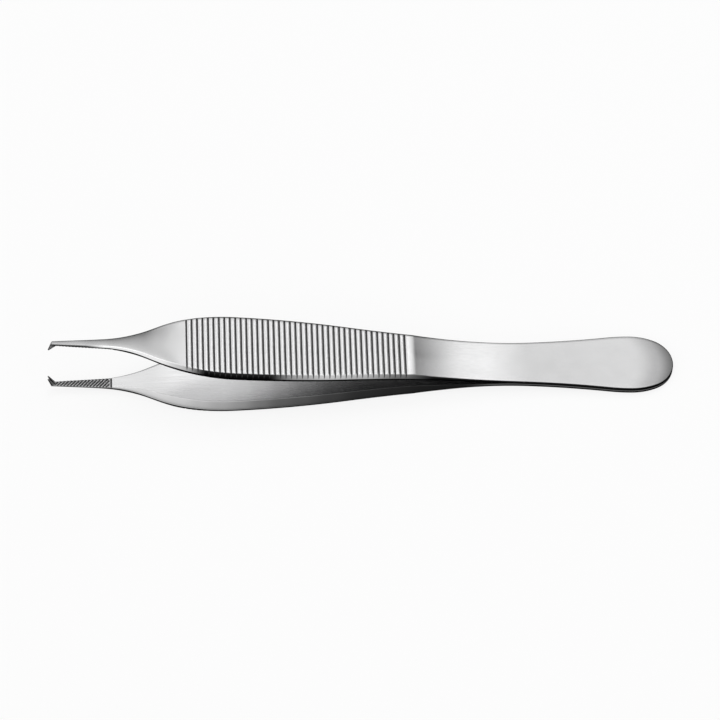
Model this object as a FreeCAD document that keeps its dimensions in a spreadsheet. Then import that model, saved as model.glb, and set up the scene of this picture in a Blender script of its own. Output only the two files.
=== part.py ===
import FreeCAD, Part
import math
import os
import Sketcher

# Thumb forceps with one tooth facing two: two spring arms forged in strip steel and
# joined flat against each other at the rear. Each arm is drawn in its own frame: the rear
# end is at x = 0, the tip points to -X, the width runs along Y, and z = 0 is the plane
# where the two arms meet. The finished pair then lies on a table as it would come to rest.

SIZES = {
    # Length and side view of an arm
    "overall_length": 120.0,
    "weld_length": 29.0,
    "leaf_thickness": 0.7,
    "spring_bend_radius": 60.0,
    "spread_angle": 4.4,
    "grip_from_tip": 26.2,
    "grip_length": 43.6,
    "grip_rear_thickness": 1.55,
    "grip_front_thickness": 1.85,
    "grip_crown": 0.17,
    "scoop_lead": 1.0,
    "brow_radius": 120.0,
    "neck_from_tip": 11.0,
    "neck_thickness": 0.75,
    "tip_thickness": 0.55,
    # Outline of an arm from above
    "rear_half_width": 6.3,
    "rear_crest_from_rear": 8.3,
    "rear_flank_radius": 12.0,
    "rear_crest_radius": 36.0,
    "waist_from_rear": 36.0,
    "waist_half_width": 4.6,
    "waist_front_share": 0.55,
    "grip_half_width": 6.95,
    "grip_crest_from_tip": 35.5,
    "shoulder_radius": 36.0,
    "flare_angle": 24.5,
    "neck_radius": 24.0,
    "tip_taper_angle": 3.0,
    "tip_half_width": 0.38,
    "rim_chamfer": 0.25,
    # Cross ridges of the thumb grip
    "ridge_pitch": 1.052,
    "ridge_groove_width": 0.4,
    "ridge_groove_floor": 0.16,
    "ridge_groove_depth": 0.22,
    "ridge_first_offset": 0.2,
    "ridge_last_margin": 1.0,
    # Serrated tying platform behind the teeth
    "platform_length": 12.2,
    "platform_angle": 1.4,
    "serration_pitch": 0.65,
    "serration_width": 0.42,
    "serration_depth": 0.16,
    "serration_slant": 40.0,
    "serration_front_margin": 2.3,
    "serration_rear_margin": 0.9,
    # Teeth
    "tooth_lean": 0.75,
    "tooth_height": 1.7,
    "tooth_root_length": 1.5,
    "tooth_tip_flat": 0.22,
    "tooth_tip_width": 0.12,
    "tooth_clearance": 0.05,
}

# How far a cutting profile stands clear of the metal that it cuts.
CUT_REACH = 1.0

doc = FreeCAD.newDocument("thumb_forceps")
sheet = doc.addObject("Spreadsheet::Sheet", "sizes")
for row, (alias, number) in enumerate(SIZES.items(), start=1):
    sheet.set(f"A{row}", alias)
    sheet.set(f"B{row}", str(number))
    sheet.setAlias(f"B{row}", alias)
doc.recompute()


def worth(formula):
    """The number that a formula of the sheet's sizes gives."""
    found = sheet.evalExpression(formula)
    return float(getattr(found, "Value", found))


def size(alias):
    """The name of one of the sheet's sizes, as formulas write it."""
    return f"sizes.{alias}"


def plane_of(body, role):
    """One of a body's own origin planes."""
    return next(item for item in body.Origin.OriginFeatures if item.Role == role)


def new_sketch(body, name, role):
    """An empty sketch that lies flat on one of the body's origin planes."""
    sketch = body.newObject("Sketcher::SketchObject", name)
    sketch.AttachmentSupport = [(plane_of(body, role), "")]
    sketch.MapMode = "FlatFace"
    return sketch


def bind(sketch, constraint, formula):
    """Adds a dimension to a sketch and ties it to a formula."""
    index = sketch.addConstraint(constraint)
    sketch.setExpression(f"Constraints[{index}]", formula)


def pin(sketch, shape_index, end, corner):
    """Holds one end of a line or arc at the place that two formulas give."""
    for axis, kind, formula in ((-2, "DistanceX", corner[0]), (-1, "DistanceY", corner[1])):
        if formula == "0":
            sketch.addConstraint(Sketcher.Constraint("PointOnObject", shape_index, end, axis))
        else:
            held = Sketcher.Constraint(kind, -1, 1, shape_index, end, worth(formula))
            bind(sketch, held, formula)


def arc_between(start, end, radius, left_turn):
    """The short arc from start to end that bulges to the right of a left turn, or the left of
    a right turn."""
    chord = end - start
    to_centre = FreeCAD.Vector(-chord.y, chord.x, 0).normalize()
    apothem = math.sqrt(radius ** 2 - (chord.Length / 2) ** 2)
    centre = (start + end) * 0.5 + to_centre * (apothem if left_turn else -apothem)
    first, last = (start, end) if left_turn else (end, start)
    angles = [math.atan2(point.y - centre.y, point.x - centre.x) for point in (first, last)]
    circle = Part.Circle(centre, FreeCAD.Vector(0, 0, 1), radius)
    return Part.ArcOfCircle(circle, angles[0], angles[1])


def draw_outline(sketch, corners, arcs):
    """A closed outline through corners, each a pair of formulas. arcs holds, by the number of
    the corner that an arc starts from, its radius and whether it turns left."""
    places = [FreeCAD.Vector(worth(across), worth(up), 0) for across, up in corners]
    ends = []
    for number, place in enumerate(places):
        following = places[(number + 1) % len(places)]
        if number in arcs:
            radius, left_turn = arcs[number]
            index = sketch.addGeometry(arc_between(place, following, worth(radius), left_turn))
            bind(sketch, Sketcher.Constraint("Radius", index, worth(radius)), radius)
            ends.append((index, 1, 2) if left_turn else (index, 2, 1))
        else:
            index = sketch.addGeometry(Part.LineSegment(place, following))
            ends.append((index, 1, 2))
    for number, corner in enumerate(corners):
        index, start, _ = ends[number]
        before, _, finish = ends[number - 1]
        sketch.addConstraint(Sketcher.Constraint("Coincident", before, finish, index, start))
        pin(sketch, index, start, corner)


def set_turn_axis(sketch, axis):
    """Lets a formula turn a sketch about one of its own axes."""
    turn = FreeCAD.Rotation(axis, 1)
    sketch.AttachmentOffset = FreeCAD.Placement(FreeCAD.Vector(0, 0, 0), turn)


def set_sides(feature, length):
    """Makes a pad or pocket run the same way to both sides of its sketch."""
    feature.SideType = "Symmetric"
    feature.setExpression("Length", length)


# Formulas of the side view

SPREAD = f"tan({size('spread_angle')})"
BEND_SHIFT = f"{size('spring_bend_radius')} * tan({size('spread_angle')} / 2)"
SPREAD_START = f"({size('weld_length')} + {BEND_SHIFT})"
PLATFORM_REAR = f"({size('overall_length')} - {size('platform_length')})"
GRIP_FRONT = f"({size('overall_length')} - {size('grip_from_tip')})"
GRIP_REAR = f"({GRIP_FRONT} - {size('grip_length')})"
NECK = f"({size('overall_length')} - {size('neck_from_tip')})"
TIP_FRONT = f"({size('overall_length')} - {size('tooth_lean')})"
TOOTH_ROOT = f"({size('overall_length')} - {size('tooth_root_length')})"
WIDEST_HALF = f"max({size('grip_half_width')}; {size('rear_half_width')})"
BODY_WIDTH = f"(2 * {WIDEST_HALF} + {2 * CUT_REACH})"


def inner_height(distance):
    """Height of the straight inner face at a distance from the rear end."""
    return f"(({distance} - {SPREAD_START}) * {SPREAD})"


def platform_height(distance):
    """Height of the tying platform at a distance from the rear end."""
    run = f"({distance} - {PLATFORM_REAR})"
    return f"({inner_height(PLATFORM_REAR)} + {run} * tan({size('platform_angle')}))"


NECK_HEIGHT = f"({inner_height(NECK)} + {size('neck_thickness')})"
GRIP_FRONT_HEIGHT = f"({inner_height(GRIP_FRONT)} + {size('grip_front_thickness')})"
GRIP_REAR_HEIGHT = f"({inner_height(GRIP_REAR)} + {size('grip_rear_thickness')})"
GRIP_RISE = f"({GRIP_FRONT_HEIGHT} - {GRIP_REAR_HEIGHT})"
HALF_CHORD_SQUARED = f"(({size('grip_length')}^2 + {GRIP_RISE}^2) / 4)"
GRIP_RADIUS = f"(({HALF_CHORD_SQUARED} + {size('grip_crown')}^2) / (2 * {size('grip_crown')}))"
SCOOP_DROP = f"({GRIP_REAR_HEIGHT} - {size('leaf_thickness')})"
SCOOP_REAR = f"({size('weld_length')} - {size('scoop_lead')})"
SCOOP_RADIUS = f"(({GRIP_REAR} - {SCOOP_REAR})^2 / (2 * {SCOOP_DROP}) + {SCOOP_DROP} / 2)"
TOOTH_APEX_HEIGHT = f"({platform_height(TOOTH_ROOT)} - {size('tooth_height')})"
TIP_TOP_HEIGHT = f"({platform_height(TIP_FRONT)} + {size('tip_thickness')})"


def side_profile(body):
    """The arm seen from the side, from the rear end round by the inner face to the tip and
    back over the grip."""
    bend_run = f"{size('spring_bend_radius')} * sin({size('spread_angle')})"
    bend_rise = f"{size('spring_bend_radius')} * (1 - cos({size('spread_angle')}))"
    corners = [
        ("0", "0"),
        (f"-{size('weld_length')}", "0"),
        (f"-({size('weld_length')} + {bend_run})", bend_rise),
        (f"-{PLATFORM_REAR}", inner_height(PLATFORM_REAR)),
        (f"-{TOOTH_ROOT}", platform_height(TOOTH_ROOT)),
        (f"-({size('overall_length')} - {size('tooth_tip_flat')})", TOOTH_APEX_HEIGHT),
        (f"-{size('overall_length')}", TOOTH_APEX_HEIGHT),
        (f"-{TIP_FRONT}", TIP_TOP_HEIGHT),
        (f"-{NECK}", NECK_HEIGHT),
        (f"-{GRIP_FRONT}", GRIP_FRONT_HEIGHT),
        (f"-{GRIP_REAR}", GRIP_REAR_HEIGHT),
        (f"-{SCOOP_REAR}", size("leaf_thickness")),
        ("0", size("leaf_thickness")),
    ]
    arcs = {
        1: (size("spring_bend_radius"), False),
        8: (size("brow_radius"), False),
        9: (GRIP_RADIUS, False),
        10: (SCOOP_RADIUS, True),
    }
    sketch = new_sketch(body, "side_profile", "XZ_Plane")
    draw_outline(sketch, corners, arcs)
    return sketch


# Formulas of the outline from above

def curve_sum(run, rise):
    """Sum of the radii of two arcs that turn opposite ways and join two level crests."""
    return f"((({run})^2 + ({rise})^2) / (2 * ({rise})))"


REAR_RUN = f"({size('waist_from_rear')} - {size('rear_crest_from_rear')})"
REAR_RISE = f"({size('rear_half_width')} - {size('waist_half_width')})"
REAR_SUM = curve_sum(REAR_RUN, REAR_RISE)
GRIP_CREST = f"({size('overall_length')} - {size('grip_crest_from_tip')})"
FRONT_RUN = f"({GRIP_CREST} - {size('waist_from_rear')})"
FRONT_RISE = f"({size('grip_half_width')} - {size('waist_half_width')})"
FRONT_SUM = curve_sum(FRONT_RUN, FRONT_RISE)
FLANK_OFFSET = f"({size('rear_flank_radius')} - {size('rear_half_width')})"
FLANK_RUN = f"({size('rear_flank_radius')} - {size('rear_crest_from_rear')})"
NOSE_RADIUS = (
    f"(({size('rear_flank_radius')}^2 - {size('rear_crest_from_rear')}^2 - {FLANK_OFFSET}^2)"
    f" / (2 * {FLANK_RUN}))"
)
FLARE = size("flare_angle")
TAPER = size("tip_taper_angle")
NECK_RUN = f"({size('neck_radius')} * (sin({FLARE}) - sin({TAPER})))"
NECK_FALL = f"({size('neck_radius')} * (cos({TAPER}) - cos({FLARE})))"
SHOULDER_RUN = f"({size('shoulder_radius')} * sin({FLARE}))"
SHOULDER_FALL = f"({size('shoulder_radius')} * (1 - cos({FLARE})))"
CREST_TO_SIDE = f"({size('grip_half_width')} - {size('tip_half_width')})"
STRAIGHT_RUN = f"({size('grip_crest_from_tip')} - {SHOULDER_RUN} - {NECK_RUN})"
STRAIGHT_FALL = f"({CREST_TO_SIDE} - {SHOULDER_FALL} - {NECK_FALL})"
FLARE_LENGTH = (
    f"(({STRAIGHT_FALL} * cos({TAPER}) - {STRAIGHT_RUN} * sin({TAPER})) / sin({FLARE} - {TAPER}))"
)


def half_outline():
    """One side of the outline, from the rear end to the tip: distances from the rear end and
    half widths, with the arcs that start at each."""
    flank_reach = f"sqrt(({size('rear_crest_from_rear')} - {NOSE_RADIUS})^2 + {FLANK_OFFSET}^2)"
    nose_share = f"({NOSE_RADIUS} / {flank_reach})"
    nose_end = (
        f"({NOSE_RADIUS} - {nose_share} * ({size('rear_crest_from_rear')} - {NOSE_RADIUS}))",
        f"({nose_share} * {FLANK_OFFSET})",
    )
    rear_share = f"({size('rear_crest_radius')} / {REAR_SUM})"
    front_share = size("waist_front_share")
    shoulder_end = (
        f"({GRIP_CREST} + {SHOULDER_RUN})",
        f"({size('grip_half_width')} - {SHOULDER_FALL})",
    )
    flare_end = (
        f"({shoulder_end[0]} + {FLARE_LENGTH} * cos({FLARE}))",
        f"({shoulder_end[1]} - {FLARE_LENGTH} * sin({FLARE}))",
    )
    points = [
        nose_end,
        (size("rear_crest_from_rear"), size("rear_half_width")),
        (
            f"({size('rear_crest_from_rear')} + {REAR_RUN} * {rear_share})",
            f"({size('rear_half_width')} - {REAR_RISE} * {rear_share})",
        ),
        (size("waist_from_rear"), size("waist_half_width")),
        (
            f"({size('waist_from_rear')} + {FRONT_RUN} * {front_share})",
            f"({size('waist_half_width')} + {FRONT_RISE} * {front_share})",
        ),
        (GRIP_CREST, size("grip_half_width")),
        shoulder_end,
        flare_end,
        (f"({flare_end[0]} + {NECK_RUN})", f"({flare_end[1]} - {NECK_FALL})"),
        (size("overall_length"), size("tip_half_width")),
    ]
    arcs = {
        0: (size("rear_flank_radius"), True),
        1: (size("rear_crest_radius"), True),
        2: (f"({REAR_SUM} - {size('rear_crest_radius')})", False),
        3: (f"({FRONT_SUM} * {front_share})", False),
        4: (f"({FRONT_SUM} * (1 - {front_share}))", True),
        5: (size("shoulder_radius"), True),
        7: (size("neck_radius"), False),
    }
    return points, arcs


def plan_outline(body):
    """The arm's outline from above, drawn inside a rectangle: what lies between is cut off."""
    points, half_arcs = half_outline()
    last = len(points) - 1
    corners = [(f"-{distance}", half) for distance, half in points]
    corners += [(f"-{distance}", f"-{half}") for distance, half in reversed(points)]
    arcs = dict(half_arcs)
    for number, (radius, left_turn) in half_arcs.items():
        arcs[2 * last - number] = (radius, left_turn)
    arcs[2 * last + 1] = (NOSE_RADIUS, True)
    sketch = new_sketch(body, "plan_outline", "XY_Plane")
    draw_outline(sketch, corners, arcs)
    margin = str(CUT_REACH)
    front = f"-({size('overall_length')} + {margin})"
    side = f"({BODY_WIDTH} / 2 + {margin})"
    frame = [(margin, side), (front, side), (front, f"-{side}"), (margin, f"-{side}")]
    draw_outline(sketch, frame, {})
    return sketch


def rim_edges(shape):
    """Names of the long edges round the outer face of an arm."""
    names = []
    for number, edge in enumerate(shape.Edges, start=1):
        middle = edge.valueAt((edge.FirstParameter + edge.LastParameter) / 2)
        along = edge.tangentAt((edge.FirstParameter + edge.LastParameter) / 2)
        inner = worth(inner_height(str(-middle.x)))
        is_long = abs(along.y) < 0.999 and abs(along.z) < 0.9
        is_outer = middle.z > max(inner, 0) + SIZES["leaf_thickness"] / 2
        if is_long and is_outer and middle.x > -worth(NECK):
            names.append(f"Edge{number}")
    return names


def cut(body, name, sketch):
    """A pocket made from a sketch, before it is given its length."""
    pocket = body.newObject("PartDesign::Pocket", name)
    pocket.Profile = sketch
    pocket.Refine = False
    return pocket


def grip_ridges(body):
    """Cross grooves along the crowned outer face of the thumb grip, set out about the centre
    of its crown, so that each is as deep as the first."""
    sketch = new_sketch(body, "grip_groove", "XZ_Plane")
    lean = f"asin({GRIP_RISE} / (2 * sqrt({HALF_CHORD_SQUARED})))"
    middle_x = f"-({GRIP_REAR} + {size('grip_length')} / 2)"
    middle_z = f"({GRIP_FRONT_HEIGHT} + {GRIP_REAR_HEIGHT}) / 2"
    sagitta_reach = f"({GRIP_RADIUS} - {size('grip_crown')})"
    first_turn = (
        f"(({size('grip_length')} / 2 - {size('ridge_first_offset')}) / {GRIP_RADIUS} * 180 / pi)"
    )
    set_turn_axis(sketch, FreeCAD.Vector(0, 0, 1))
    sketch.setExpression("AttachmentOffset.Base.x", f"{middle_x} - {sagitta_reach} * sin({lean})")
    sketch.setExpression("AttachmentOffset.Base.y", f"{middle_z} - {sagitta_reach} * cos({lean})")
    sketch.setExpression("AttachmentOffset.Rotation.Angle", f"{first_turn} * 1deg - {lean}")
    top = f"({GRIP_RADIUS} + {CUT_REACH})"
    mouth = GRIP_RADIUS
    floor = f"({GRIP_RADIUS} - {size('ridge_groove_depth')})"
    half_mouth = f"({size('ridge_groove_width')} / 2)"
    half_floor = f"({size('ridge_groove_floor')} / 2)"
    corners = [
        (f"-{half_mouth}", top),
        (f"-{half_mouth}", mouth),
        (f"-{half_floor}", floor),
        (half_floor, floor),
        (half_mouth, mouth),
        (half_mouth, top),
    ]
    draw_outline(sketch, corners, {})
    groove = cut(body, "grip_groove_cut", sketch)
    set_sides(groove, BODY_WIDTH)
    doc.recompute()
    ridges = body.newObject("PartDesign::PolarPattern", "grip_ridges")
    ridges.Originals = [groove]
    ridges.Axis = (sketch, ["N_Axis"])
    ridges.Reversed = True
    ridges.Mode = "Spacing"
    ridges.setExpression("Offset", f"{size('ridge_pitch')} / {GRIP_RADIUS} * 180 / pi")
    usable = f"({size('grip_length')} - {size('ridge_first_offset')} - {size('ridge_last_margin')})"
    ridges.setExpression("Occurrences", f"floor({usable} / {size('ridge_pitch')}) + 1")
    body.Tip = ridges
    return ridges


def tying_platform(body, slant_sign):
    """Slanting V grooves across the flat inner face behind the teeth."""
    direction = new_sketch(body, "platform_direction", "XZ_Plane")
    start = (f"-({TOOTH_ROOT})", platform_height(TOOTH_ROOT))
    finish = (f"-{PLATFORM_REAR}", inner_height(PLATFORM_REAR))
    ends = [FreeCAD.Vector(worth(across), worth(up), 0) for across, up in (start, finish)]
    line = direction.addGeometry(Part.LineSegment(ends[0], ends[1]), True)
    pin(direction, line, 1, start)
    pin(direction, line, 2, finish)
    sketch = new_sketch(body, "serration", "XZ_Plane")
    first = f"({size('overall_length')} - {size('serration_front_margin')})"
    set_turn_axis(sketch, FreeCAD.Vector(0, 1, 0))
    sketch.setExpression("AttachmentOffset.Base.x", f"-{first}")
    sketch.setExpression("AttachmentOffset.Base.y", platform_height(first))
    sketch.setExpression("AttachmentOffset.Rotation.Angle", f"{slant_sign} * {size('serration_slant')}")
    half = f"({size('serration_width')} / 2)"
    depth = size("serration_depth")
    below = str(-CUT_REACH)
    corners = [(f"-{half}", below), (half, below), (half, "0"), ("0", depth), (f"-{half}", "0")]
    draw_outline(sketch, corners, {})
    groove = cut(body, "serration_cut", sketch)
    set_sides(groove, BODY_WIDTH)
    doc.recompute()
    serrations = body.newObject("PartDesign::LinearPattern", "serrations")
    serrations.Originals = [groove]
    serrations.Direction = (direction, ["Axis0"])
    serrations.Mode = "Spacing"
    serrations.setExpression("Offset", size("serration_pitch"))
    margins = f"{size('serration_front_margin')} + {size('serration_rear_margin')}"
    usable = f"({size('platform_length')} - {margins})"
    serrations.setExpression("Occurrences", f"floor({usable} / {size('serration_pitch')}) + 1")
    body.Tip = serrations
    return serrations


def tooth_sketch(body, name):
    """An empty sketch across the arm, just ahead of its tip."""
    sketch = new_sketch(body, name, "YZ_Plane")
    sketch.setExpression("AttachmentOffset.Base.z", f"-({size('overall_length')} + {CUT_REACH})")
    return sketch


def trim_teeth(body, sketch):
    """Cuts the tip's hook to the shape of its teeth, seen from the front."""
    trimmed = cut(body, "teeth", sketch)
    trimmed.Reversed = True
    trimmed.setExpression("Length", f"{size('tooth_root_length')} + {2 * CUT_REACH}")
    body.Tip = trimmed
    return trimmed


GUM = f"({platform_height(TOOTH_ROOT)})"
SIDE = f"({size('tip_half_width')} + {CUT_REACH})"
TOOTH_FOOT = f"({size('tip_half_width')} - {size('tooth_clearance')})"
BELOW_TEETH = f"({TOOTH_APEX_HEIGHT} - {CUT_REACH})"


def single_tooth(body):
    """Cuts both flanks away, which leaves one pointed tooth in the middle."""
    half_tip = f"({size('tooth_tip_width')} / 2)"
    sketch = tooth_sketch(body, "tooth_flanks")
    for sign in ("", "-"):
        corners = [
            (f"{sign}{SIDE}", GUM),
            (f"{sign}{TOOTH_FOOT}", GUM),
            (f"{sign}{half_tip}", TOOTH_APEX_HEIGHT),
            (f"{sign}{half_tip}", BELOW_TEETH),
            (f"{sign}{SIDE}", BELOW_TEETH),
        ]
        draw_outline(sketch, corners, {})
    return trim_teeth(body, sketch)


def double_tooth(body):
    """Cuts a V in the middle, which leaves a pointed tooth at each side."""
    half_gap = f"({size('tip_half_width')} - {size('tooth_tip_width')})"
    sketch = tooth_sketch(body, "tooth_notch")
    corners = [
        (f"-{half_gap}", BELOW_TEETH),
        (half_gap, BELOW_TEETH),
        (half_gap, TOOTH_APEX_HEIGHT),
        ("0", GUM),
        (f"-{half_gap}", TOOTH_APEX_HEIGHT),
    ]
    draw_outline(sketch, corners, {})
    return trim_teeth(body, sketch)


def make_arm(label, shape_teeth, slant_sign):
    """One arm of the forceps as a body of its own."""
    body = doc.addObject("PartDesign::Body", label)
    body.Label = label
    blank = body.newObject("PartDesign::Pad", "blank")
    blank.Profile = side_profile(body)
    set_sides(blank, BODY_WIDTH)
    trimmed = cut(body, "outline_cut", plan_outline(body))
    set_sides(trimmed, f"4 * {NECK_HEIGHT}")
    doc.recompute()
    eased = body.newObject("PartDesign::Chamfer", "outer_rim")
    eased.Base = (trimmed, rim_edges(trimmed.Shape))
    eased.setExpression("Size", size("rim_chamfer"))
    body.Tip = eased
    doc.recompute()
    grip_ridges(body)
    tying_platform(body, slant_sign)
    shape_teeth(body)
    doc.recompute()
    return body


single_arm = make_arm("single_tooth_arm", single_tooth, -1)
double_arm = make_arm("double_tooth_arm", double_tooth, 1)


def resting_tilt():
    """Slope of the line from the rear end's outer edge to the brow in front of the grip, on
    which the lower arm lies."""
    neck = FreeCAD.Vector(worth(NECK), worth(NECK_HEIGHT), 0)
    grip = FreeCAD.Vector(worth(GRIP_FRONT), worth(GRIP_FRONT_HEIGHT), 0)
    radius = worth(size("brow_radius"))
    brow = arc_between(neck, grip, radius, True)
    reach = math.hypot(brow.Center.x, brow.Center.y - worth(size("leaf_thickness")))
    to_centre = math.atan2(brow.Center.y - worth(size("leaf_thickness")), brow.Center.x)
    return math.degrees(to_centre + math.asin(radius / reach))


def lay_down(arms):
    """Turns the open pair until it lies on its lower arm, and puts the origin under the
    middle of its bounding box."""
    tilt = FreeCAD.Rotation(FreeCAD.Vector(0, 1, 0), resting_tilt())
    over = FreeCAD.Rotation(FreeCAD.Vector(1, 0, 0), 180)
    turns = {arms[0]: tilt, arms[1]: tilt.multiply(over)}
    box = FreeCAD.BoundBox()
    for arm, turn in turns.items():
        arm.Placement = FreeCAD.Placement(FreeCAD.Vector(0, 0, 0), turn)
        box.add(arm.Shape.optimalBoundingBox(False))
    drop = FreeCAD.Vector(-box.Center.x, -box.Center.y, -box.ZMin)
    for arm, turn in turns.items():
        arm.Placement = FreeCAD.Placement(drop, turn)


lay_down([single_arm, double_arm])
doc.recompute()

for item in doc.Objects:
    if "Invalid" in item.State or "Error" in item.State:
        raise RuntimeError(f"{item.Name} failed: {item.State}")
os.makedirs("parts", exist_ok=True)
for arm in (single_arm, double_arm):
    shape = arm.Shape
    if shape.isNull() or not shape.isValid() or len(shape.Solids) != 1:
        raise RuntimeError(f"{arm.Label} is not one sound solid")
    print(arm.Label, round(shape.Volume, 3), "mm3,", len(shape.Faces), "faces", shape.BoundBox)
    shape.exportStep(f"parts/{arm.Label}.step")
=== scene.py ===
import math

import bmesh
import bpy
from mathutils import Matrix, Vector


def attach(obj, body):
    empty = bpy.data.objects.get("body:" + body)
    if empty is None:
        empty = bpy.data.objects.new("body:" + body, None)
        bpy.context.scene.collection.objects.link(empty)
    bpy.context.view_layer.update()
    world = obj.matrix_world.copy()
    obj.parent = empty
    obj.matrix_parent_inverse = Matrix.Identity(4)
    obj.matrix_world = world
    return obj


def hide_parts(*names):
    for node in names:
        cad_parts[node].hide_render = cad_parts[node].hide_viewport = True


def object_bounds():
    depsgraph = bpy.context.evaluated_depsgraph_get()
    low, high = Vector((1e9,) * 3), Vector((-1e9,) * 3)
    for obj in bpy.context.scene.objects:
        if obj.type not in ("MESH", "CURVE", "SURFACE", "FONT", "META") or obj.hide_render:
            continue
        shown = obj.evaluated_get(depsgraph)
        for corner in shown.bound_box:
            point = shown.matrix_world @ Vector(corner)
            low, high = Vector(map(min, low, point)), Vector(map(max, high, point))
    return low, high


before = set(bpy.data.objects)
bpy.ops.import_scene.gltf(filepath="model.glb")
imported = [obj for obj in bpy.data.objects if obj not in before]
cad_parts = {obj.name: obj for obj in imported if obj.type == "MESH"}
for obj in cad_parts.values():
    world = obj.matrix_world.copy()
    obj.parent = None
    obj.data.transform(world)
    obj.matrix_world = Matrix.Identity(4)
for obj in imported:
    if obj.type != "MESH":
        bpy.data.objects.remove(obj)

cad_low, cad_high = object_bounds()

# Sizes of an arm, in millimetres and degrees, as it is drawn: its rear end at x = 0, its tip
# towards -X, its width along Y, and z = 0 where the two arms meet.
OVERALL_LENGTH = 120.0
WELD_LENGTH = 29.0
LEAF_THICKNESS = 0.7
SPRING_BEND_RADIUS = 60.0
SPREAD_ANGLE = math.radians(4.4)
GRIP_FROM_TIP = 26.2
GRIP_LENGTH = 43.6
GRIP_REAR_THICKNESS = 1.55
GRIP_FRONT_THICKNESS = 1.85
GRIP_CROWN = 0.17
SCOOP_LENGTH = 22.2
BROW_RADIUS = 120.0
NECK_FROM_TIP = 11.0
NECK_THICKNESS = 0.75
TIP_THICKNESS = 0.55
REAR_HALF_WIDTH = 6.3
REAR_CREST = 8.3
REAR_FLANK_RADIUS = 12.0
REAR_CREST_RADIUS = 36.0
WAIST = 36.0
WAIST_HALF_WIDTH = 4.6
WAIST_FRONT_SHARE = 0.55
GRIP_HALF_WIDTH = 6.95
GRIP_CREST_FROM_TIP = 35.5
SHOULDER_RADIUS = 36.0
FLARE_ANGLE = math.radians(24.5)
NECK_RADIUS = 24.0
TIP_TAPER_ANGLE = math.radians(3.0)
TIP_HALF_WIDTH = 0.38
RIDGE_PITCH = 1.052
RIDGE_GROOVE_WIDTH = 0.4
RIDGE_GROOVE_FLOOR = 0.16
RIDGE_GROOVE_DEPTH = 0.22
RIDGE_FIRST_OFFSET = 0.2
RIDGE_LAST_MARGIN = 1.0
PLATFORM_LENGTH = 12.2
PLATFORM_ANGLE = math.radians(1.4)
SERRATION_PITCH = 0.65
SERRATION_DEPTH = 0.16
SERRATION_SLANT = math.radians(40.0)
SERRATION_FRONT_MARGIN = 1.7
SERRATION_REAR_MARGIN = 0.9
TOOTH_LEAN = 0.75
TOOTH_HEIGHT = 1.7
TOOTH_ROOT_LENGTH = 1.5
TOOTH_TIP_FLAT = 0.22
TOOTH_TIP_SHARE = 0.25

# Form that the solids leave out. A row of pairs gives a value, the second of each pair, at
# distances from the rear end.
UPPER_RIM_RADIUS = ((44.0, 0.25), (52.0, 0.45), (86.0, 0.45), (94.0, 0.28))
LOWER_RIM_RADIUS = ((44.0, 0.15), (52.0, 0.45), (86.0, 0.45), (94.0, 0.15))
OUTER_RIM_SHARE = 0.3
OUTER_RIM_LIMIT = 0.5
INNER_RIM_LIMIT = 0.4
FAR_INNER_SHARE = 0.14
FINE_RIM_RADIUS = 0.1
INNER_RIM_START = 33.0
INNER_RIM_FULL = 46.0
INNER_RIM_FADE = 8.0
INNER_RIM_STOP = 0.5
BEVEL_RUN_IN = 8.0
NECK_BLEND = 0.14
NECK_BLEND_REACH = 4.5
NOSE_SLOPE = 0.06
NOSE_SLOPE_START = 3.0
NOSE_SLOPE_SWEEP = 0.06
NOSE_SLOPE_BLEND = 0.7
NECK_CROWN = 0.07
NECK_CROWN_START = 95.0
NECK_CROWN_RUN = 7.0
STEP_LINE_WIDTH = 0.3
SERRATION_FADE = 0.2
SERRATION_POWER = 0.8
TOOTH_LEAN_RUN = 4.0

# How finely an arm is meshed
INNER_COLUMNS = 25
OUTER_COLUMNS = 25
RIM_STEPS = 8
TOOTH_STEPS = 8
NOSE_STEP = math.radians(3.0)
LEAF_STEP = 0.8
SCOOP_STEP = 0.5
BROW_STEP = 0.35
PLATFORM_STEP = 0.07
PLATFORM_STEP_START = 0.6
GRIP_EDGE_STEPS = (0.06, 0.3)
CREASE_COLUMN = 0.015
CREASE_GAP = 0.02
SQUARE_ON = 0.999
MERGE_DISTANCE = 2e-6
DEGENERATE_LENGTH = 1e-7
SHARP_ANGLE = math.radians(38.0)
MILLIMETRE = 0.001

# Distances from the rear end that several shapes share.
PLATFORM_REAR = OVERALL_LENGTH - PLATFORM_LENGTH
GRIP_FRONT = OVERALL_LENGTH - GRIP_FROM_TIP
GRIP_REAR = GRIP_FRONT - GRIP_LENGTH
LEAF_FRONT = GRIP_REAR - SCOOP_LENGTH
NECK = OVERALL_LENGTH - NECK_FROM_TIP
TIP_FRONT = OVERALL_LENGTH - TOOTH_LEAN
TOOTH_ROOT = OVERALL_LENGTH - TOOTH_ROOT_LENGTH
GRIP_CREST = OVERALL_LENGTH - GRIP_CREST_FROM_TIP
SPREAD_START = WELD_LENGTH + SPRING_BEND_RADIUS * math.tan(SPREAD_ANGLE / 2)
BEND_END = WELD_LENGTH + SPRING_BEND_RADIUS * math.sin(SPREAD_ANGLE)


def ease(value):
    """Goes smoothly from 0 to 1 as the value does."""
    value = min(1.0, max(0.0, value))
    return value * value * (3 - 2 * value)


def circle_through(start, end, radius, above):
    """Centre of a circle through two points, above or below the chord."""
    middle = (start + end) / 2
    chord = end - start
    across = Vector((-chord.y, chord.x)).normalized()
    if (across.y > 0) != above:
        across = -across
    return middle + across * math.sqrt(radius ** 2 - chord.length_squared / 4)


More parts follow.
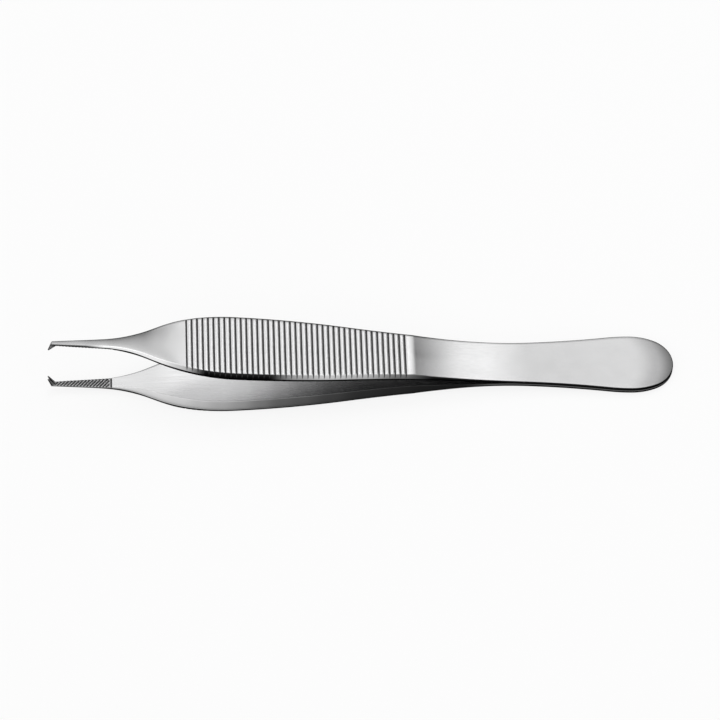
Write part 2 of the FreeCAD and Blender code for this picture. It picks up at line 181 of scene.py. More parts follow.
def inner_height(distance):
    """Height of the inner face above the plane where the arms meet."""
    if distance <= WELD_LENGTH:
        return 0.0
    if distance <= BEND_END:
        run = distance - WELD_LENGTH
        return SPRING_BEND_RADIUS - math.sqrt(SPRING_BEND_RADIUS ** 2 - run ** 2)
    if distance <= PLATFORM_REAR:
        return (distance - SPREAD_START) * math.tan(SPREAD_ANGLE)
    run = distance - PLATFORM_REAR
    return inner_height(PLATFORM_REAR) + run * math.tan(PLATFORM_ANGLE)


GRIP_REAR_HEIGHT = inner_height(GRIP_REAR) + GRIP_REAR_THICKNESS
GRIP_FRONT_HEIGHT = inner_height(GRIP_FRONT) + GRIP_FRONT_THICKNESS
NECK_HEIGHT = (NECK - SPREAD_START) * math.tan(SPREAD_ANGLE) + NECK_THICKNESS
TIP_HEIGHT = inner_height(TIP_FRONT) + TIP_THICKNESS
APEX_HEIGHT = inner_height(TOOTH_ROOT) - TOOTH_HEIGHT
SCOOP_DROP = GRIP_REAR_HEIGHT - LEAF_THICKNESS
SCOOP_RADIUS = SCOOP_LENGTH ** 2 / (2 * SCOOP_DROP) + SCOOP_DROP / 2
GRIP_CHORD = Vector((GRIP_LENGTH, GRIP_FRONT_HEIGHT - GRIP_REAR_HEIGHT))
GRIP_RADIUS = (GRIP_CHORD.length_squared / 4 + GRIP_CROWN ** 2) / (2 * GRIP_CROWN)
GRIP_CENTRE = circle_through(
    Vector((GRIP_REAR, GRIP_REAR_HEIGHT)), Vector((GRIP_FRONT, GRIP_FRONT_HEIGHT)), GRIP_RADIUS, False
)
BROW_CENTRE = circle_through(
    Vector((GRIP_FRONT, GRIP_FRONT_HEIGHT)), Vector((NECK, NECK_HEIGHT)), BROW_RADIUS, False
)


def outer_height(distance):
    """Height of the outer face, before the grip's grooves are cut."""
    if distance <= LEAF_FRONT:
        return LEAF_THICKNESS
    if distance <= GRIP_REAR:
        run = distance - LEAF_FRONT
        return LEAF_THICKNESS + SCOOP_RADIUS - math.sqrt(SCOOP_RADIUS ** 2 - run ** 2)
    if distance <= GRIP_FRONT:
        return GRIP_CENTRE.y + math.sqrt(GRIP_RADIUS ** 2 - (distance - GRIP_CENTRE.x) ** 2)
    brow = BROW_CENTRE.y + math.sqrt(BROW_RADIUS ** 2 - (distance - BROW_CENTRE.x) ** 2)
    if distance < NECK - NECK_BLEND_REACH:
        return brow
    share = (distance - NECK) / (TIP_FRONT - NECK)
    neck = NECK_HEIGHT + share * (TIP_HEIGHT - NECK_HEIGHT)
    near = (NECK_BLEND_REACH - abs(distance - NECK)) / NECK_BLEND_REACH
    blend = NECK_BLEND * ease(near)
    return (brow + neck + math.hypot(brow - neck, blend)) / 2


def curve_sum(run, rise):
    """Sum of the radii of two arcs that turn opposite ways and join two level crests."""
    return (run ** 2 + rise ** 2) / (2 * rise)


REAR_SUM = curve_sum(WAIST - REAR_CREST, REAR_HALF_WIDTH - WAIST_HALF_WIDTH)
REAR_JOIN = REAR_CREST + (WAIST - REAR_CREST) * REAR_CREST_RADIUS / REAR_SUM
FRONT_SUM = curve_sum(GRIP_CREST - WAIST, GRIP_HALF_WIDTH - WAIST_HALF_WIDTH)
FRONT_JOIN = WAIST + (GRIP_CREST - WAIST) * WAIST_FRONT_SHARE
SHOULDER_END = GRIP_CREST + SHOULDER_RADIUS * math.sin(FLARE_ANGLE)
SHOULDER_END_HALF = GRIP_HALF_WIDTH - SHOULDER_RADIUS * (1 - math.cos(FLARE_ANGLE))
NECK_RUN = NECK_RADIUS * (math.sin(FLARE_ANGLE) - math.sin(TIP_TAPER_ANGLE))
NECK_FALL = NECK_RADIUS * (math.cos(TIP_TAPER_ANGLE) - math.cos(FLARE_ANGLE))
STRAIGHT_RUN = OVERALL_LENGTH - SHOULDER_END - NECK_RUN
STRAIGHT_FALL = SHOULDER_END_HALF - TIP_HALF_WIDTH - NECK_FALL
FLARE_LENGTH = (
    STRAIGHT_FALL * math.cos(TIP_TAPER_ANGLE) - STRAIGHT_RUN * math.sin(TIP_TAPER_ANGLE)
) / math.sin(FLARE_ANGLE - TIP_TAPER_ANGLE)
FLARE_END = SHOULDER_END + FLARE_LENGTH * math.cos(FLARE_ANGLE)
FLARE_END_HALF = SHOULDER_END_HALF - FLARE_LENGTH * math.sin(FLARE_ANGLE)
TAPER_START = FLARE_END + NECK_RUN
NECK_ARC_CENTRE = TAPER_START + NECK_RADIUS * math.sin(TIP_TAPER_ANGLE)
NECK_ARC_HALF = FLARE_END_HALF - NECK_FALL + NECK_RADIUS * math.cos(TIP_TAPER_ANGLE)


def bulge(distance, centre, half_at_centre, radius):
    """Half width on an arc that is widest, or narrowest for a negative radius, at its centre."""
    fall = abs(radius) - math.sqrt(radius ** 2 - (distance - centre) ** 2)
    return half_at_centre - math.copysign(fall, radius)


def half_width(distance):
    """Half the arm's width, from the widest place of the rear end to the tip."""
    if distance <= REAR_JOIN:
        return bulge(distance, REAR_CREST, REAR_HALF_WIDTH, REAR_CREST_RADIUS)
    if distance <= WAIST:
        return bulge(distance, WAIST, WAIST_HALF_WIDTH, REAR_CREST_RADIUS - REAR_SUM)
    if distance <= FRONT_JOIN:
        return bulge(distance, WAIST, WAIST_HALF_WIDTH, -FRONT_SUM * WAIST_FRONT_SHARE)
    if distance <= GRIP_CREST:
        return bulge(distance, GRIP_CREST, GRIP_HALF_WIDTH, FRONT_SUM * (1 - WAIST_FRONT_SHARE))
    if distance <= SHOULDER_END:
        return bulge(distance, GRIP_CREST, GRIP_HALF_WIDTH, SHOULDER_RADIUS)
    if distance <= FLARE_END:
        return SHOULDER_END_HALF - (distance - SHOULDER_END) * math.tan(FLARE_ANGLE)
    if distance <= TAPER_START:
        return NECK_ARC_HALF - math.sqrt(NECK_RADIUS ** 2 - (distance - NECK_ARC_CENTRE) ** 2)
    return TIP_HALF_WIDTH + (OVERALL_LENGTH - distance) * math.tan(TIP_TAPER_ANGLE)


# Grooves of the thumb grip

GRIP_SLOPE = math.cos(math.atan2(GRIP_CHORD.y, GRIP_CHORD.x))
RIDGE_STEP = RIDGE_PITCH * GRIP_SLOPE
RIDGE_COUNT = 1 + math.floor((GRIP_LENGTH - RIDGE_FIRST_OFFSET - RIDGE_LAST_MARGIN) / RIDGE_PITCH)
RIDGE_FIRST = GRIP_FRONT - RIDGE_FIRST_OFFSET * GRIP_SLOPE
GROOVE_PROFILE = (
    (RIDGE_GROOVE_FLOOR * 0.35, 1.0),
    (RIDGE_GROOVE_WIDTH * 0.29, 0.5),
    (RIDGE_GROOVE_WIDTH * 0.37, 0.05),
    (RIDGE_GROOVE_WIDTH * 0.44, 0.0),
)


def groove_depth(distance):
    """Depth of the nearest groove of the grip at a distance from the rear end."""
    nearest = round((RIDGE_FIRST - distance) / RIDGE_STEP)
    nearest = min(max(nearest, 0), RIDGE_COUNT - 1)
    away = abs(RIDGE_FIRST - nearest * RIDGE_STEP - distance)
    inner_reach, inner_share = 0.0, 1.0
    for reach, share in GROOVE_PROFILE:
        if away <= reach:
            blend = (away - inner_reach) / (reach - inner_reach)
            return RIDGE_GROOVE_DEPTH * (inner_share + blend * (share - inner_share))
        inner_reach, inner_share = reach, share
    return 0.0


def nose_drop(distance, across):
    """How far the rear end is ground down towards its rim."""
    inside = NOSE_SLOPE_START + NOSE_SLOPE_SWEEP * across ** 2 - distance
    return NOSE_SLOPE * (inside + math.hypot(inside, NOSE_SLOPE_BLEND)) / 2


def neck_crown(distance, across):
    """How far the outer face is crowned across the neck and the tip."""
    share = ease((distance - NECK_CROWN_START) / NECK_CROWN_RUN)
    return NECK_CROWN * share * across ** 2 / half_width(distance) if share > 0 else 0.0


def ramp(value, points):
    """A value read off a line of points."""
    if value <= points[0][0]:
        return points[0][1]
    for (x0, y0), (x1, y1) in zip(points, points[1:]):
        if value <= x1:
            return y0 + ease((value - x0) / (x1 - x0)) * (y1 - y0)
    return points[-1][1]


# Painted light and shade on the steel, as shares: how dark an edge is painted in place of its
# shade and reflection, how much painted shade a face gets and how much painted highlight another.
# A turn is the share of a rounding over which its tone sets in. A row of pairs again gives a
# value at distances from the rear end.
EDGE_TONE = 1.0
# The teeth are painted dark, as painted shade.
HOOK_PAINTED_DARK = 0.7
# The far side's rim is painted dark, as painted shade, from these shares of its turn.
FAR_EDGE_PAINTED_DARK = 0.95
FAR_EDGE_START = 0.3
FAR_EDGE_TURN = 0.2
INNER_EDGE_TURN = 0.4
INNER_EDGE_LOSS = 0.5
OUTER_EDGE_START = 0.1
OUTER_EDGE_TURN = 0.2
# A painted highlight on the near side's outer rounding and side, towards the tip, and on the lands
# between the grip's grooves.
NEAR_EDGE_LIGHT = ((90.0, 0.0), (97.0, 0.8))
LAND_LIGHT = 0.42
# The near rim's crease on the inner face gets painted shade and is painted dark.
CREASE_TONE = 0.3
CREASE_PAINTED_DARK = 0.7
# Where along a side's height its darkest painted shade lies, and how soon the rest takes over.
WALL_FOOT = ((100.0, 0.3), (106.0, 0.6), (112.0, 0.8))
WALL_FOOT_FADE = 0.12
# Painted shade on the floors of the serrations and of the grip's grooves.
SERRATION_DARK_START = 0.2
SERRATION_DARK_RUN = 0.4
GROOVE_DARK_POWER = 1.5
NECK_TONE_POWER = 0.7
# Painted shade on the inner faces: darkest towards the weld, where the gap between the arms narrows,
# and across towards the near side.
INNER_TONE = (
    (52.0, 0.62), (60.0, 0.64), (65.7, 0.56), (71.4, 0.40), (75.3, 0.26), (79.1, 0.13),
    (83.0, 0.03), (87.0, 0.0), (91.0, 0.02), (95.0, 0.06), (101.0, 0.18), (107.0, 0.18),
)
INNER_TONE_ACROSS = (
    (60.0, 0.2), (66.0, 0.24), (76.0, 0.3), (83.0, 0.28), (87.0, 0.24), (91.0, 0.18),
    (95.0, 0.12), (100.0, 0.03), (104.0, 0.0),
)
# Painted shade on the lower arm's near bevel, and how dark it is painted.
BEVEL_TONE = (
    (34.0, 0.4), (40.0, 0.8), (46.0, 0.96), (60.0, 0.96), (65.7, 0.91), (71.4, 0.86),
    (75.3, 0.83), (79.1, 0.78), (83.0, 0.68), (87.0, 0.60), (91.0, 0.50), (94.5, 0.38),
    (100.3, 0.28), (104.0, 0.28), (107.0, 0.15),
)
BEVEL_PAINTED_DARK = (
    (34.0, 0.6), (41.0, 0.96), (48.0, 0.88), (54.0, 0.8), (60.0, 0.7), (66.0, 0.5),
    (71.7, 0.32), (75.6, 0.3), (80.0, 0.12), (84.0, 0.0),
)
# Painted shade along the far side of the neck's outer face, in place of a dark reflection.
NECK_TONE = (
    (96.0, 0.0), (99.0, 0.18), (102.2, 0.42), (106.0, 0.58), (109.5, 0.58), (112.0, 0.35),
    (115.0, 0.15), (118.0, 0.35),
)
# Painted shade on the outer face at the rear end's rim.
NOSE_TONE = ((-2.0, 1.0), (7.5, 0.0))


class Finish:
    """How an arm's edges are shaped and where they are painted dark. near is the side, along the
    arm's own Y, that the camera sees, and side tells how dark both sides are painted along the
    arm, in place of their shade and dark reflections. inner tells how dark the rounding beside the
    inner face is painted. On the near side, inner_share is that rounding's radius against the
    thickness, and bevel how far it is a flat bevel instead. outer_radius is the rounding beside the
    outer face, and nose how much of the rear end's slope the arm gets."""

    def __init__(self, near, side, inner, inner_share, bevel, outer_radius, nose):
        self.near = near
        self.side = side
        self.inner = inner
        self.inner_share = inner_share
        self.bevel = bevel
        self.outer_radius = outer_radius
        self.nose = nose


# How dark each arm's sides are painted along the arm, in place of their shade and dark reflections.
UPPER_SIDE = (
    (46.0, 1.0), (53.0, 0.8), (60.0, 0.4), (67.0, 0.25), (72.0, 0.5), (78.0, 1.0),
    (90.0, 1.0), (95.0, 0.3), (99.0, 0.0), (109.0, 0.0), (113.0, 0.9),
)
LOWER_SIDE = ((60.0, 1.0),)
UPPER_FINISH = Finish(-1, UPPER_SIDE, 1.0, 0.12, 0.0, UPPER_RIM_RADIUS, 1.0)
LOWER_FINISH = Finish(1, LOWER_SIDE, 0.0, 0.62, 0.8, LOWER_RIM_RADIUS, 0.3)


def inner_rim(distance, thickness, share):
    """Radius of the rounding between the inner face and the side."""
    full = share * thickness
    return ramp(distance, (
        (INNER_RIM_START, FINE_RIM_RADIUS),
        (INNER_RIM_FULL, full),
        (PLATFORM_REAR - INNER_RIM_FADE, full),
        (PLATFORM_REAR - INNER_RIM_STOP, FINE_RIM_RADIUS),
    ))


def inner_painted_shade(distance, nearness):
    """How much painted shade the inner faces get: it darkens them towards the weld, where the gap
    between the arms narrows, and towards the near side.
    """
    along = ramp(distance, INNER_TONE)
    return 1 - (1 - along) * (1 - ramp(distance, INNER_TONE_ACROSS) * nearness ** 2)


def bevel_painted_shade(distance, share):
    """How much painted shade the bevel gets, for a share of its own painted shade over that of the
    inner face.
    """
    return 1 - (1 - inner_painted_shade(distance, 1.0)) * (1 - share * ramp(distance, BEVEL_TONE))


def outer_painted_shade(distance, y, nearness):
    """How much painted shade the outer face gets: at the rear end's rim and along the far side of the
    neck.
    """
    rim = ramp(distance - NOSE_SLOPE_SWEEP * y ** 2, NOSE_TONE)
    neck = ramp(distance, NECK_TONE) * (1 - nearness) ** NECK_TONE_POWER
    return max(rim, neck)


def serration_depth(distance, across, slant_sign):
    """Depth of the slanting serrations of the tying platform."""
    front = OVERALL_LENGTH - SERRATION_FRONT_MARGIN + SERRATION_PITCH / 2
    rear = PLATFORM_REAR + SERRATION_REAR_MARGIN - SERRATION_PITCH
    if abs(distance - PLATFORM_REAR) < STEP_LINE_WIDTH / 2:
        return SERRATION_DEPTH
    if not rear < distance < front:
        return 0.0
    fade = min(1.0, (front - distance) / SERRATION_FADE, (distance - rear) / SERRATION_FADE)
    along = distance + slant_sign * across * math.tan(SERRATION_SLANT)
    phase = ((front - along) / SERRATION_PITCH) % 1.0
    return SERRATION_DEPTH * fade * (1.0 - abs(2.0 * phase - 1.0)) ** SERRATION_POWER


# Rings of points round an arm. A station is a distance from the rear end, and the material
# reads the values named here off each point. They paint light and shade into the steel's colour,
# in turn: edges and sides painted dark, painted shade on the floors of grooves and serrations, a
# painted highlight, and painted shade on faces.
POINT_VALUES = ("painted_dark", "cut", "inside", "painted_shade")


def stations():
    """Distances along the arm at which it gets a ring of points, from the widest place of
    the rear end to the tip."""
    marks = []

    def run(start, end, step):
        count = max(1, round((end - start) / step))
        marks.extend(start + (end - start) * i / count for i in range(count))

    run(REAR_CREST, LEAF_FRONT, LEAF_STEP)
    run(LEAF_FRONT, GRIP_REAR, SCOOP_STEP)
    marks.append(GRIP_REAR)
    for number in reversed(range(RIDGE_COUNT)):
        centre = RIDGE_FIRST - number * RIDGE_STEP
        reaches = [reach for reach, share in GROOVE_PROFILE]
        marks.append(centre - RIDGE_STEP / 2)
        marks.extend(centre - reach for reach in reversed(reaches))
        marks.extend(centre + reach for reach in reaches)
    marks.append(GRIP_FRONT + GRIP_EDGE_STEPS[0])
    run(GRIP_FRONT + GRIP_EDGE_STEPS[1], PLATFORM_REAR - PLATFORM_STEP_START, BROW_STEP)
    run(PLATFORM_REAR - PLATFORM_STEP_START, TIP_FRONT, PLATFORM_STEP)
    marks.append(TIP_FRONT)
    return sorted(mark for mark in marks if mark <= TIP_FRONT)


def nose_outline():
    """Places and outward directions round one side of the rear end, from its middle to its
    widest place."""
    offset = REAR_FLANK_RADIUS - REAR_HALF_WIDTH
    run = REAR_FLANK_RADIUS - REAR_CREST
    nose_radius = (REAR_FLANK_RADIUS ** 2 - REAR_CREST ** 2 - offset ** 2) / (2 * run)
    join = math.atan2(offset, REAR_CREST - nose_radius)
    steps = math.ceil(join / NOSE_STEP)
    places = []
    for number in range(steps):
        angle = join * number / steps
        distance = nose_radius - nose_radius * math.cos(angle)
        places.append((distance, nose_radius * math.sin(angle), angle))
    steps = math.ceil((math.pi / 2 - join) / NOSE_STEP)
    for number in range(steps):
        angle = join + (math.pi / 2 - join) * number / steps
        distance = REAR_CREST - REAR_FLANK_RADIUS * math.cos(angle)
        half = REAR_FLANK_RADIUS * math.sin(angle) - offset
        places.append((distance, half, angle))
    return places


def fractions(count):
    """Places across a face from -1 to 1."""
    return [2.0 * i / (count - 1) - 1.0 for i in range(count)]


class Ring:
    """One ring of points round an arm. shares tell how far each point lies from the inner
    face towards the outer one, and marks its four values of painted light and shade: how dark
    its edge is painted, the painted shade of a cut's floor, its painted highlight and its painted
    shade."""

    def __init__(self):
        self.points = []
        self.shares = []
        self.marks = []

    def add(self, x, y, z, thickness_share, marks):
        self.points.append(Vector((x, y, z)))
        self.shares.append(thickness_share)
        self.marks.append(marks)


def make_ring(inner_distance, outer_distance, half, outward, slant_sign, finish):
    """A ring that runs over the inner face, the +Y side, the outer face and the -Y side.
    outward is the outline's direction, as distance and width."""
    ring = Ring()
    thickness = outer_height(outer_distance) - inner_height(inner_distance)
    thickness -= finish.nose * nose_drop(outer_distance, half)
    thickness -= neck_crown(outer_distance, half)
    narrow = half if outward[1] > SQUARE_ON else thickness
    outer_radius = min(
        ramp(outer_distance, finish.outer_radius), OUTER_RIM_SHARE * thickness, OUTER_RIM_LIMIT * narrow
    )
    inner_radii = {
        side: min(inner_rim(outer_distance, thickness, share), INNER_RIM_LIMIT * narrow)
        for side, share in ((finish.near, finish.inner_share), (-finish.near, FAR_INNER_SHARE))
    }
    side_painted_dark = ramp(outer_distance, finish.side)
    near_light = ramp(outer_distance, NEAR_EDGE_LIGHT)

    def put(side, inset, level_share, drop, across, painted_dark, inside, rim_painted_shade=0.0):
        """level_share 0 is the inner face and 1 the outer. drop is how far the rim's
        rounding lies inside the face."""
        base = inner_distance + (outer_distance - inner_distance) * level_share
        distance = max(base + inset * outward[0], 0.0)
        reach = half - inset * outward[1]
        place = across if across is not None else side
        y = reach * place
        nearness = (1 + place * finish.near) / 2
        if level_share < 0.5:
            # Painted shade on the serrations' floors, and on the inner faces between the arms.
            depth = serration_depth(distance, y, slant_sign)
            z = inner_height(distance) + max(drop, depth)
            cut = ease((depth / SERRATION_DEPTH - SERRATION_DARK_START) / SERRATION_DARK_RUN)
            painted_shade = max(inside * inner_painted_shade(inner_distance, nearness), rim_painted_shade)
        else:
            # Painted shade on the grooves' floors, at the rear end's rim and along the neck, and a
            # painted highlight on the grip's lands.
            depth = groove_depth(distance)
            z = outer_height(distance) - finish.nose * nose_drop(distance, y)
            z -= neck_crown(distance, y) + max(drop, depth)
            cut = (depth / RIDGE_GROOVE_DEPTH) ** GROOVE_DARK_POWER
            painted_shade = outer_painted_shade(distance, y, nearness)
            if GRIP_REAR < distance < GRIP_FRONT:
                inside = max(inside, LAND_LIGHT)
        ring.add(-distance, y, z, level_share, (painted_dark, cut, inside, painted_shade))

    def face_painted_dark(across):
        """The far rim's painted dark edge starts in the faces' last column."""
        return FAR_EDGE_START if across * finish.near < -SQUARE_ON else 0.0

    # The far rim is painted dark early in its turn, as painted shade.
    def rim_painted_dark(near, painted_dark, turn):
        return painted_dark if near else max(painted_dark, FAR_EDGE_PAINTED_DARK * ease(turn / FAR_EDGE_TURN))

    def inner_columns():
        """The inner face's places across, with one close beside the crease of the near rim,
        and whether each is that crease."""
        places = fractions(INNER_COLUMNS)
        gap = max(CREASE_COLUMN, CREASE_GAP / max(half, CREASE_GAP))
        beside = -2 if finish.near > 0 else 1
        places[beside] = finish.near * (1 - min(gap, 2 / (INNER_COLUMNS - 1)))
        return [(across, across * finish.near > SQUARE_ON) for across in places]

    def inner_face():
        for across, crease in inner_columns():
            inset = inner_radii[-1] + (inner_radii[1] - inner_radii[-1]) * (1 + across) / 2
            painted_dark = face_painted_dark(across)
            # Where there is a bevel, the near rim's crease is painted dark and gets the bevel's painted
            # shade.
            if crease and finish.bevel > 0:
                painted_dark = CREASE_PAINTED_DARK * ramp(inner_distance, BEVEL_PAINTED_DARK)
            rim_painted_shade = bevel_painted_shade(inner_distance, CREASE_TONE) if crease else 0.0
            put(1, inset, 0.0, 0.0, across, painted_dark, 1.0, rim_painted_shade)

    def inner_rounding(side, steps):
        radius = inner_radii[side]
        near = side == finish.near
        bevel = finish.bevel * ease(outer_distance / BEVEL_RUN_IN) if near else 0.0
        # The near rounding gets the bevel's painted shade and is painted dark, and the inner face's
        # painted highlight fades as it turns.
        rim_painted_shade = bevel_painted_shade(inner_distance, 1.0) if near else 0.0
        for step in steps:
            turn = step / RIM_STEPS
            angle = math.pi / 2 * turn
            inset = radius * (1 - bevel * turn - (1 - bevel) * math.sin(angle))
            drop = radius * (bevel * turn + (1 - bevel) * (1 - math.cos(angle)))
            painted_dark = rim_painted_dark(near, finish.inner * ease(turn / INNER_EDGE_TURN), turn)
            if bevel > 0:
                painted_dark = max(painted_dark, ramp(inner_distance, BEVEL_PAINTED_DARK))
            put(side, inset, 0.0, drop, None, painted_dark, 1.0 - INNER_EDGE_LOSS * turn, rim_painted_shade)

    def outer_rounding(side, steps):
        near = side == finish.near
        for step in steps:
            turn = step / RIM_STEPS
            angle = math.pi / 2 * turn
            inset = outer_radius * (1 - math.sin(angle))
            drop = outer_radius * (1 - math.cos(angle))
            # The sides' painted dark sets in a little way round the rounding, and the near side gets a
            # painted highlight.
            onset = ease((turn - OUTER_EDGE_START) / OUTER_EDGE_TURN)
            painted_dark = rim_painted_dark(near, side_painted_dark * onset, turn)
            put(side, inset, 1.0, drop, None, painted_dark, near_light if near else 0.0)

    def wall_lines(side):
        """Two lines along the side, between which its foot, painted darkest as painted shade, gives way
        to the rest.
        """
        radius = inner_radii[side]
        light = near_light if side == finish.near else 0.0
        foot = ramp(outer_distance, WALL_FOOT)
        lines = []
        for share, painted_dark in ((foot, EDGE_TONE), (foot + WALL_FOOT_FADE, side_painted_dark)):
            base = inner_distance + (outer_distance - inner_distance) * share
            z = inner_height(inner_distance) + radius + share * (thickness - radius - outer_radius)
            lines.append((-base, side * half, z, share, (painted_dark, 0.0, light, 0.0)))
        for line in lines if side > 0 else reversed(lines):
            ring.add(*line)

    upwards = range(1, RIM_STEPS + 1)
    downwards = range(RIM_STEPS, 0, -1)
    inner_face()
    inner_rounding(1, upwards)
    wall_lines(1)
    outer_rounding(1, downwards)
    for across in reversed(fractions(OUTER_COLUMNS)):
        put(1, outer_radius, 1.0, 0.0, across, face_painted_dark(across), 0.0)
    outer_rounding(-1, upwards)
    wall_lines(-1)
    inner_rounding(-1, downwards)
    return ring


def hook_rings(base, tooth_share):
    """Rings that carry the tip on into its teeth. tooth_share tells how much of the tooth's
    length stands at a place across the tip."""
    half = max(abs(point.y) for point in base.points)
    rings = []
    for step in range(1, TOOTH_STEPS + 1):
        along = step / TOOTH_STEPS
        ring = Ring()
        for point, share, marks in zip(base.points, base.shares, base.marks):
            reach = along * tooth_share(abs(point.y) / half)
            inner_x = -(OVERALL_LENGTH - TOOTH_TIP_FLAT)
            goal = Vector((inner_x + (-OVERALL_LENGTH - inner_x) * share, point.y, APEX_HEIGHT))
            place = point.lerp(goal, reach)
            # The teeth are painted dark, as painted shade.
            painted_dark = max(marks[0], HOOK_PAINTED_DARK)
            ring.add(place.x, place.y, place.z, share, (painted_dark, *marks[1:]))
        rings.append(ring)
    return rings


def single_share(across):
    """One tooth in the middle of the tip."""
    return min(1.0, max(0.0, (1.0 - across) / (1.0 - TOOTH_TIP_SHARE)))


def double_share(across):
    """A tooth at each side of the tip and a V between them."""
    return min(1.0, max(0.0, across / (1.0 - TOOTH_TIP_SHARE)))


def arm_rings(tooth_share, slant_sign, finish):
    """All rings of one arm, from the rear end to the teeth."""
    rings = []
    for distance, half, angle in nose_outline():
        outward = (math.cos(angle), math.sin(angle))
        rings.append(make_ring(distance, distance, half, outward, slant_sign, finish))
    lean_start = OVERALL_LENGTH - TOOTH_LEAN_RUN
    for distance in stations():
        inner = distance
        if distance > lean_start:
            share = (distance - lean_start) / (TIP_FRONT - lean_start)
            inner = lean_start + share * (TOOTH_ROOT - lean_start)
        rings.append(make_ring(inner, distance, half_width(distance), (0.0, 1.0), slant_sign, finish))
    rings.extend(hook_rings(rings[-1], tooth_share))
    return rings


def arm_mesh(name, tooth_share, slant_sign, finish, placement):
    """A closed mesh of one arm, in metres."""
    rings = arm_rings(tooth_share, slant_sign, finish)
    count = len(rings[0].points)
    mesh = bpy.data.meshes.new(name)
    build = bmesh.new()
    layers = [build.verts.layers.float.new(key) for key in POINT_VALUES]
    rows = []
    for ring in rings:
        row = []
        for point, marks in zip(ring.points, ring.marks):
            vertex = build.verts.new(placement @ (point * MILLIMETRE))
            for layer, value in zip(layers, marks):
                vertex[layer] = value
            row.append(vertex)
        rows.append(row)
    for here, ahead in zip(rows, rows[1:]):
        for i in range(count):
            j = (i + 1) % count
            build.faces.new((here[i], ahead[i], ahead[j], here[j]))
    end = rows[-1]
    # Between two faces lie two roundings and the side's two lines.
    rim_run = 2 * RIM_STEPS + 2
    outer_first = INNER_COLUMNS + rim_run
    for i in range(INNER_COLUMNS - 1):
        facing = outer_first + OUTER_COLUMNS - 1 - i
        build.faces.new((end[i], end[facing], end[facing - 1], end[i + 1]))
    build.faces.new(end[INNER_COLUMNS - 1:outer_first + 1])
    build.faces.new(end[outer_first + OUTER_COLUMNS - 1:] + [end[0]])
    bmesh.ops.remove_doubles(build, verts=build.verts, dist=MERGE_DISTANCE)
    bmesh.ops.dissolve_degenerate(build, edges=build.edges, dist=DEGENERATE_LENGTH)
    bmesh.ops.recalc_face_normals(build, faces=build.faces)
    for face in build.faces:
        face.smooth = True
    build.to_mesh(mesh)
    build.free()
    mesh.set_sharp_from_angle(angle=SHARP_ANGLE)
    piece = bpy.data.objects.new(name, mesh)
    bpy.context.scene.collection.objects.link(piece)
    return piece


def resting_turn():
    """The turn that lays the open pair on its lower arm."""
    reach = Vector((BROW_CENTRE.x, BROW_CENTRE.y - LEAF_THICKNESS))
    return math.atan2(reach.y, reach.x) + math.asin(BROW_RADIUS / reach.length)


def pair_placements():
    """Where each arm's own frame lies in the scene, set against the box of the solids."""
    turn = Matrix.Rotation(resting_turn(), 4, "Y")
    over = turn @ Matrix.Rotation(math.pi, 4, "X")
    rings = arm_rings(single_share, 1, UPPER_FINISH)
    points = [point * MILLIMETRE for ring in rings for point in ring.points]
    corners = [matrix @ point for matrix in (turn, over) for point in points]
    rear = max(point.x for point in corners)
    low = min(point.z for point in corners)
    shift = Matrix.Translation((cad_high.x - rear, 0.0, cad_low.z - low))
    return shift @ turn, shift @ over


# Materials


class Nodes:
    """Short calls for building a node tree."""

    def __init__(self, tree):
        self.tree = tree
        tree.nodes.clear()

    def add(self, kind, **settings):
        node = self.tree.nodes.new(kind)
        for key, value in settings.items():
            setattr(node, key, value)
        return node

    def link(self, source, target):
        self.tree.links.new(source, target)

    def math(self, operation, first, second=None, clamp=False):
        node = self.add("ShaderNodeMath", operation=operation, use_clamp=clamp)
        for socket, value in zip(node.inputs, (first, second)):
            if value is None:
                continue
            if isinstance(value, (int, float)):
                socket.default_value = value
            else:
                self.link(value, socket)
        return node.outputs[0]

    def mix(self, factor, first, second):
        node = self.add("ShaderNodeMix", data_type="RGBA")
        sockets = (node.inputs[0], node.inputs[6], node.inputs[7])
        for socket, value in zip(sockets, (factor, first, second)):
            if isinstance(value, (int, float, tuple)):
                socket.default_value = value
            else:
                self.link(value, socket)
        return node.outputs[2]

    def attribute(self, name):
        node = self.add("ShaderNodeAttribute", attribute_name=name)
        return node.outputs["Fac"]

    def noise(self, vector, scale, detail):
        node = self.add("ShaderNodeTexNoise")
        node.inputs["Scale"].default_value = scale
        node.inputs["Detail"].default_value = detail
        self.link(vector, node.inputs["Vector"])
        return node.outputs[0]


BLUE_CAST = 1.005
STEEL_GREYS = (0.60, 0.67)
# What a point's values do to the steel's grey, in turn: how far, and towards which level. The
# first lightens it as a painted highlight, and the others darken it as painted shade.
COATS = (("inside", 1.0, 0.93), ("painted_shade", 0.97, 0.02), ("painted_dark", 0.99, 0.004), ("cut", 0.92, 0.04))
# Points painted dark also reflect only this much, as painted shade.
PAINTED_DARK_SPECULAR = 0.05
ANISOTROPY = 0.35
BRUSHING_STRETCH = (120.0, 5200.0, 5200.0)
# Scale and detail of each noise.
BRUSHING = (1.0, 3.0)
CLOUD = (260.0, 4.0)
GRAIN = (9000.0, 2.0)
SATIN_ROUGHNESS = 0.16
# How much the brushing and a point's values add to the roughness.
BRUSHING_ROUGHNESS = 0.10
ROUGHENED = (("cut", 0.2), ("inside", 0.05))
BRUSHING_RELIEF = 0.7
BUMP_STRENGTH = 0.12
BUMP_HEIGHT = 0.00002


def grey(level):
    """A grey with the faint blue cast of steel."""
    return (level, level, level * BLUE_CAST, 1.0)


